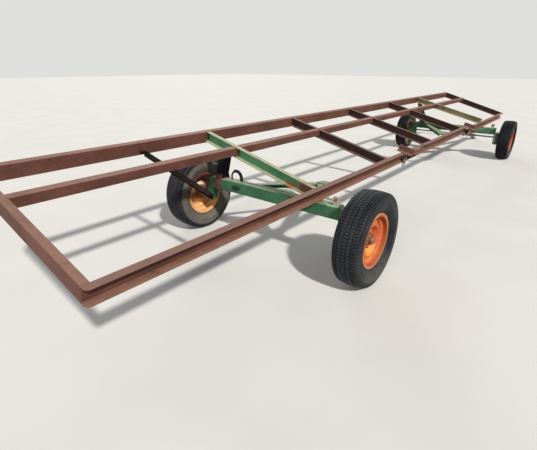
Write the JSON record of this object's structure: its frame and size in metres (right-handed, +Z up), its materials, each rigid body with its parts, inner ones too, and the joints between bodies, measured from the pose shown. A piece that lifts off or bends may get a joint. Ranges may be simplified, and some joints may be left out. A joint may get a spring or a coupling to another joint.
{
  "type": "header trailer",
  "caption": "Long leaning channel-iron frame on two wagon axles, with free wheels, linked front steering and a hinged tongue, for carrying a harvester header.",
  "frame": {"origin": "on the floor, midway along the whole trailer and midway between the wheels", "axes": "+X towards the tongue, +Y to the trailer's left, +Z up"},
  "size_m": [9.5, 2.0526, 1.0096],
  "materials": {
    "brown_paint": "weathered red-brown, rusty and dusty",
    "green_paint": "worn green paint, faded on edges",
    "rim_orange": "faded orange paint",
    "hub_grey": "dusty bare iron",
    "bare_steel": "worn and dusty",
    "tyre_black": "worn, dusty"
  },
  "bodies": {
    "frame": {"rail_right_rear": "brown_paint", "rail_right_front": "brown_paint", "rail_left": "brown_paint", "rail_splice_plate": "brown_paint", "cross_member_green_rear": "green_paint", "cross_member_second": "brown_paint", "cross_member_third": "brown_paint", "cross_member_fourth": "brown_paint", "cross_member_green_front": "green_paint", "end_member_rear": "brown_paint", "end_member_front": "brown_paint", "rail_middle": "brown_paint", "stub_angle_bar": "brown_paint", "header_rest_rear": "brown_paint", "header_rest_front": "brown_paint", "rear_axle_beam": "green_paint", "front_axle_beam": "green_paint", "rear_axle_ends": "green_paint", "rear_rail_wedge": "brown_paint", "front_rail_wedge": "brown_paint", "rear_hounds": "green_paint", "front_hounds": "green_paint", "rear_riser_left": "brown_paint", "front_riser_left": "brown_paint", "right_rail_stakes": "bare_steel", "rear_tie_down_loop": "bare_steel", "front_axle_ends": "green_paint", "steering_post": "bare_steel"},
    "knuckle_left": {"knuckle_left": "green_paint"},
    "knuckle_right": {"knuckle_right": "green_paint"},
    "steering_yoke": {"steering_yoke": "green_paint"},
    "tie_rod": {"tie_rod": "bare_steel"},
    "tongue": {"tongue_bar": "bare_steel", "tongue_clevis": "bare_steel"},
    "wheel_rear_left": {"tyre_rear_left": "tyre_black", "rim_rear_left": "rim_orange", "hub_rear_left": "hub_grey"},
    "wheel_rear_right": {"tyre_rear_right": "tyre_black", "rim_rear_right": "rim_orange", "hub_rear_right": "hub_grey"},
    "wheel_front_left": {"tyre_front_left": "tyre_black", "rim_front_left": "rim_orange", "hub_front_left": "hub_grey"},
    "wheel_front_right": {"tyre_front_right": "tyre_black", "rim_front_right": "rim_orange", "hub_front_right": "hub_grey"}
  },
  "joints": [
    {"name": "rear_wheel_left_spin", "type": "hinge", "parent": "frame", "child": "wheel_rear_left", "pos_m": [-2.855, 0.922, 0.3665], "axis": [0, 1, 0], "continuous": true},
    {"name": "rear_wheel_right_spin", "type": "hinge", "parent": "frame", "child": "wheel_rear_right", "pos_m": [-2.855, -0.922, 0.3665], "axis": [0, 1, 0], "continuous": true},
    {"name": "front_wheel_left_spin", "type": "hinge", "parent": "knuckle_left", "child": "wheel_front_left", "pos_m": [2.745, 0.914, 0.334], "axis": [0, 1, 0], "continuous": true},
    {"name": "front_wheel_right_spin", "type": "hinge", "parent": "knuckle_right", "child": "wheel_front_right", "pos_m": [2.745, -0.914, 0.334], "axis": [0, 1, 0], "continuous": true},
    {"name": "steering", "type": "hinge", "parent": "frame", "child": "steering_yoke", "pos_m": [2.745, 0, 0.402], "axis": [0, 0, 1], "range_deg": [-30, 30]},
    {"name": "knuckle_left_turn", "type": "hinge", "parent": "frame", "child": "knuckle_left", "pos_m": [2.745, 0.755, 0.334], "axis": [0, 0, 1], "range_deg": [-30, 30]},
    {"name": "knuckle_right_turn", "type": "hinge", "parent": "frame", "child": "knuckle_right", "pos_m": [2.745, -0.755, 0.334], "axis": [0, 0, 1], "range_deg": [-30, 30]},
    {"name": "tie_rod_turn", "type": "hinge", "parent": "steering_yoke", "child": "tie_rod", "pos_m": [2.875, 0, 0.344], "axis": [0, 0, 1], "range_deg": [-30, 30]},
    {"name": "tongue_lift", "type": "hinge", "parent": "steering_yoke", "child": "tongue", "pos_m": [3, 0, 0.388], "axis": [0, -1, 0], "range_deg": [0, 16]}
  ],
  "couplings": [
    {"joint": "knuckle_left_turn", "follows": "steering", "ratio": 1},
    {"joint": "knuckle_right_turn", "follows": "steering", "ratio": 1},
    {"joint": "tie_rod_turn", "follows": "steering", "ratio": -1}
  ]
}
